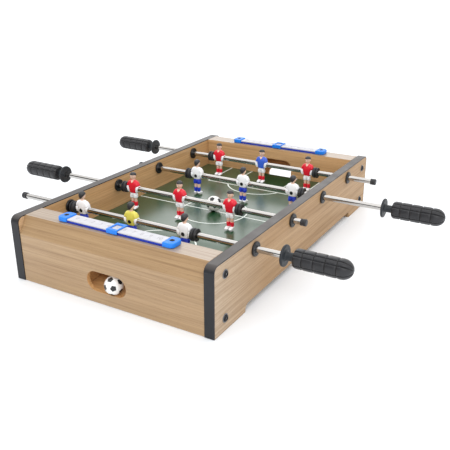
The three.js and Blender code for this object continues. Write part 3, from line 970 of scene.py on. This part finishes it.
def head_size(z):
    """Half width and half depth of the head at a height."""
    below = (HEAD_MIDDLE - z) / HEAD_HALF
    full = max(0.0, 1 - min(1.0, abs(below)) ** 3) ** (1 / 3)
    jaw = 1 - 0.26 * max(0.0, below) ** 1.4
    return HEAD_WIDTH * full * jaw, HEAD_DEPTH * full * (0.5 + 0.5 * jaw)


def head_levels():
    """Ovals from the chin to the crown, closer together at both ends."""
    count = 10
    turns = [pi * (i + 0.35) / (count + 0.7) for i in range(count + 1)]
    heights = [HEAD_MIDDLE - HEAD_HALF * cos(turn) for turn in turns]
    return [(z, *head_size(z), 0.1) for z in heights]


def hair():
    """Short hair: a cap with its edge over the brow, round the ears and low on the neck."""
    front, back, thick = 22.0, 15.6, 0.42
    top = HEAD_HIGH + thick

    def edge(angle):
        share = (sin(angle) + 1) / 2
        return front + (back - front) * share ** 3.5

    rings = []
    layers = [(0.0, -0.5), (0.0, thick * 0.7)]
    layers += [(share, thick) for share in (0.06, 0.25, 0.45, 0.62, 0.77, 0.88, 0.96)]
    for share, extra in layers:
        ring = []
        for i in range(24):
            angle = tau * i / 24
            z = edge(angle) + (top - edge(angle)) * share
            half_x, half_y = head_size(min(z, HEAD_HIGH - 0.15))
            ring.append(((half_x + extra) * cos(angle), 0.1 + (half_y + extra) * sin(angle), z))
        rings.append(ring)
    rings.append([(0.0, 0.1, top)])
    return loft(rings)


def nose():
    """Plain wedge from between the eyes to the tip."""
    levels = [(17.6, 0.4, 0.3, -4.6), (17.9, 0.8, 0.75, -4.85), (18.5, 0.7, 0.7, -4.9)]
    levels += [(19.4, 0.5, 0.5, -4.8), (20.3, 0.35, 0.3, -4.65)]
    return stack(levels, power=2, steps=12)


# Arms as ((x, y, z), half depth, half thickness); the rest as (z, half width, half depth, y).
SLEEVE = [((6.0, 0.2, 12.0), 2.6, 1.4), ((6.6, 0.2, 10.4), 3.8, 1.9), ((7.4, 0.1, 8.2), 4.5, 2.1),
          ((8.3, 0, 5.8), 5.0, 2.1), ((9.0, 0, 3.8), 5.1, 2.0)]
FOREARM = [((8.7, 0, 4.8), 4.6, 1.7), ((8.8, 0, 2.6), 5.1, 2.5), ((8.3, 0, 0.2), 5.3, 3.1),
           ((7.8, -0.2, -2.4), 4.8, 2.8), ((7.1, -0.6, -4.4), 3.7, 2.0), ((6.5, -0.9, -5.8), 2.5, 1.2)]
NECK = [(11.5, 2.7, 2.5, 0.5), (14, 2.6, 2.5, 0.5), (17, 2.6, 2.7, 0.4)]
WAIST = [(-11.4, 6.1, 3.8, 0), (-9.5, 6.2, 3.9, 0), (-6.2, 5.8, 3.7, 0)]
THIGH = [(-15.0, 2.7, 3.2, 0), (-14.7, 3.2, 3.6, 0), (-11, 3.3, 3.9, 0), (-8.6, 3.2, 3.8, 0)]
LEG = [(-22.4, 2.2, 2.4, 0.3), (-19, 2.35, 2.6, 0.2), (-16, 2.4, 2.5, 0), (-11.5, 2.3, 2.4, 0)]
SOCK = [(-30, 2.5, 2.4, 0.4), (-26.5, 2.6, 2.6, 0.4), (-22.8, 2.8, 2.9, 0.3), (-22.1, 2.9, 3.0, 0.3),
        (-21.5, 2.7, 2.8, 0.3)]


def arm(path, side, power):
    """Left (-1) or right (1) arm from a path given for the right one."""
    turned_path = [((side * x, y, z), deep, thick) for (x, y, z), deep, thick in path]
    return limb(turned_path, (0, 1, 0), power)


def add_half(shape, side):
    """What a figure has on each side: ear, eye, brow, arm and leg."""
    shape.add(blob((side * 4.3, 0.4, 18.7), 0.6, 1.0, 1.4), SKIN)
    shape.add(blob((side * 1.75, -4.65, 19.4), 0.5, 0.22, 0.3), HAIR)
    shape.add(blob((side * 1.8, -4.7, 20.5), 0.95, 0.26, 0.17), HAIR)
    shape.add(arm(SLEEVE, side, 2.3), SHIRT)
    shape.add(arm(FOREARM, side, 2.6), WHITE)
    shape.add(stack(THIGH, x=side * 3.2, power=2.8, steps=16), SHORTS)
    shape.add(stack(LEG, x=side * 3.0, power=2.2, steps=16), SKIN)
    shape.add(stack(SOCK, x=side * 3.1, power=2.3, steps=16), SOCKS)
    shape.add(shoe(side * 3.4), WHITE)


def figure_mesh(name, shirt, shorts, socks):
    shape = Shape()
    shape.add(stack(TORSO, power=TORSO_POWER), SHIRT)
    shape.add(neckline(), SKIN)
    shape.add(stack(NECK, power=2), SKIN)
    shape.add(stack(head_levels(), power=2.1), SKIN)
    shape.add(hair(), HAIR)
    shape.add(nose(), SKIN)
    shape.add(blob((0, -4.35, 16.7), 1.1, 0.3, 0.2), LIP)
    for side in (-1, 1):
        add_half(shape, side)
    shape.add(stack(WAIST, power=3.0), SHORTS)
    screw = socket_head(2.8, 0.6, socket=0.5, steps=30)
    shape.add(([(y, x + 5.2, z - 0.8) for x, y, z in screw[0]], screw[1]), SCREW)
    made = shape.mesh(name, sharp=75)
    for look in (skin_paint, hair_paint, shirt, shorts, socks, white_paint, lip_paint, bolt_black):
        made.materials.append(look)
    return made


def shoe(x):
    """Boot with a flat sole, through sections (y, half width, half height) from heel to toe."""
    sole = -32.3
    sections = [(3.3, 1.6, 1.3), (2.9, 2.2, 2.0), (0.5, 2.6, 2.4), (-2.5, 2.8, 2.2)]
    sections += [(-5.0, 2.95, 1.7), (-7.0, 2.5, 1.25), (-7.7, 1.6, 0.8)]
    path = [((x, y, sole + half_z), half_x, half_z) for y, half_x, half_z in sections]
    return limb(path, (1, 0, 0), power=2.8)


TEAM_SLOTS = {"white": "white_team", "red": "red_team",
              "yellow": "yellow_keeper", "royal": "blue_keeper"}


def place_figures(name, axis, figures):
    """The figures of a rod, facing the end that their toes point to."""
    for role in ("left_player", "middle_player", "keeper", "right_player"):
        node = f"{name}_{role}"
        if node not in nodes:
            continue
        low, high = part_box(node)
        toes_near = axis.y - low.y > high.y - axis.y
        white_team = not toes_near
        team = "white" if white_team else "red"
        if role == "keeper":
            team = "yellow" if white_team else "royal"
        made = piece(f"{node}_figure", figures[team], [], name, TEAM_SLOTS[team],
                     ((low.x + high.x) / 2, axis.y, axis.z), 0.0 if toes_near else pi, [node])
        smooth = made.modifiers.new("refined", "SUBSURF")
        smooth.levels = smooth.render_levels = 1


# ---- balls ----
def ball_panels(tilt):
    """Corners of the pentagons and hexagons of a football of radius 1, tilted by degrees."""
    work = bmesh.new()
    bmesh.ops.create_icosphere(work, subdivisions=1, radius=1)
    work.edges.ensure_lookup_table()
    lie = Euler([radians(angle) for angle in tilt]).to_matrix()
    bmesh.ops.rotate(work, verts=work.verts, cent=(0, 0, 0), matrix=lie)
    third = work.edges[0].calc_length() / 3
    bmesh.ops.bevel(work, geom=work.verts, offset=third, offset_type="OFFSET", segments=1,
                    affect="VERTICES", profile=0.5)
    panels = [[v.co.copy() for v in face.verts] for face in work.faces]
    work.free()
    return panels


def panel_slice(a, b, centre, radius):
    """Part of a panel between two corners and its middle; its edge drops into the seam."""
    shares = (0.0, 0.035, 0.075, 0.13, 0.25, 0.42, 0.6, 0.8)
    seam_depth, seam_share, columns = 0.3, 0.1, 5
    points = []
    for share in shares:
        seam = max(0.0, 1 - share / seam_share)
        for column in range(columns + 1):
            along = a.lerp(b, column / columns).lerp(centre, share)
            points.append(tuple(along.normalized() * (radius - seam_depth * seam * seam)))
    points.append(tuple(centre.normalized() * radius))
    wide, tip = columns + 1, len(points) - 1
    faces = []
    for row in range(len(shares)):
        for i in range(row * wide, row * wide + columns):
            faces.append((i, i + 1, tip) if i + wide >= tip else (i, i + 1, i + 1 + wide, i + wide))
    return points, faces


def ball_mesh(radius, tilt):
    """Football with shallow seams."""
    shape = Shape()
    for corners in ball_panels(tilt):
        centre = sum(corners, Vector()) / len(corners)
        for a, b in zip(corners, corners[1:] + corners[:1]):
            shape.add(panel_slice(a, b, centre, radius), 1 if len(corners) == 5 else 0)
    made = shape.mesh("football", sharp=80)
    work = bmesh.new()
    work.from_mesh(made)
    bmesh.ops.remove_doubles(work, verts=work.verts, dist=1e-6)
    bmesh.ops.recalc_face_normals(work, faces=work.faces)
    work.to_mesh(made)
    work.free()
    made.shade_smooth()
    return made


def make_balls():
    radius = size_of("field_ball").z / 2 - 0.02
    for node, tilt in (("field_ball", (-20, 22.6, 57.8)), ("return_ball", (-33, -14.7, -10.2))):
        piece(f"{node}_football", ball_mesh(radius, tilt), [ball_white, ball_black], node, "ball_white",
              centre_of(node), 0.0, [node])


# ---- stage ----
def make_stage():
    bpy.context.scene.view_settings.view_transform = "Standard"
    reach, below = 12, 0.0004
    floor = flat_sheet("floor", reach, reach, -below)
    pale = (0.862, 0.884, 0.91, 1)
    paint = Look("floor_paint", Roughness=0.7, Specular_IOR_Level=0.2, Base_Color=pale)
    floor.data.materials.append(paint.material)
    make_sky()
    make_card("back_card", (-1.65, 3.24, 1.70), 2.1, 15)
    make_card("front_card", (1.3, -2.2, 1.9), 1.6, 26)
    make_dark_flag("dark_flag", (-1.45, -2.4, 1.0), (3.2, 1.5))


def make_sky():
    """Even white studio light, brighter overhead than at the horizon."""
    horizon, zenith = 0.86, 1.62
    world = bpy.data.worlds.new("studio")
    sky = Nodes(world, "Background")
    place = sky.node("ShaderNodeTexCoord").outputs["Generated"]
    parts = sky.node("ShaderNodeSeparateXYZ", Vector=place)
    sky.set("Strength", sky.spread(parts.outputs["Z"], 0, 1, horizon, zenith))
    sky.set("Color", (1, 1, 1, 1))
    bpy.context.scene.world = world


def aim(made, place):
    """Puts a light or a flag at a place, with its back to the table."""
    made.location = place
    made.rotation_euler = Vector(place).to_track_quat("Z", "Y").to_euler()


def make_dark_flag(name, place, size):
    """Black cloth beside the camera, seen only in the gloss of the rods and grips."""
    flag = flat_sheet(name, size[0] / 2, size[1] / 2)
    aim(flag, place)
    flag.visible_camera = flag.visible_diffuse = flag.visible_shadow = False
    flag.data.materials.append(plastic("flag_cloth", rgb(12, 12, 12), roughness=0.9))


def make_card(name, place, width, power):
    """Soft box that faces the table; the polished tops and the pitch mirror it."""
    light = bpy.data.lights.new(name, "AREA")
    light.shape = "SQUARE"
    light.size = width
    light.energy = power
    lamp = bpy.data.objects.new(name, light)
    aim(lamp, place)
    bpy.context.scene.collection.objects.link(lamp)


def make_camera():
    """Looks down at the near right corner."""
    down, round_left = 22.11, 30.11
    camera = bpy.data.cameras.new("camera")
    camera.lens = 49.84
    camera.sensor_width = 36
    holder = bpy.data.objects.new("camera", camera)
    holder.location = (0.46675, -0.77071, 0.38450)
    holder.rotation_euler = (radians(90 - down), 0, radians(round_left))
    bpy.context.scene.collection.objects.link(holder)
    bpy.context.scene.camera = holder


make_camera()
make_stage()
dress_cabinet()
make_markings()
make_bolts()
make_counters()
make_rods({
    "white": figure_mesh("figure_white", white_paint, blue_paint, blue_paint),
    "yellow": figure_mesh("figure_yellow", yellow_paint, blue_paint, blue_paint),
    "red": figure_mesh("figure_red", red_paint, white_paint, red_paint),
    "royal": figure_mesh("figure_royal", royal_paint, white_paint, red_paint),
})
make_balls()
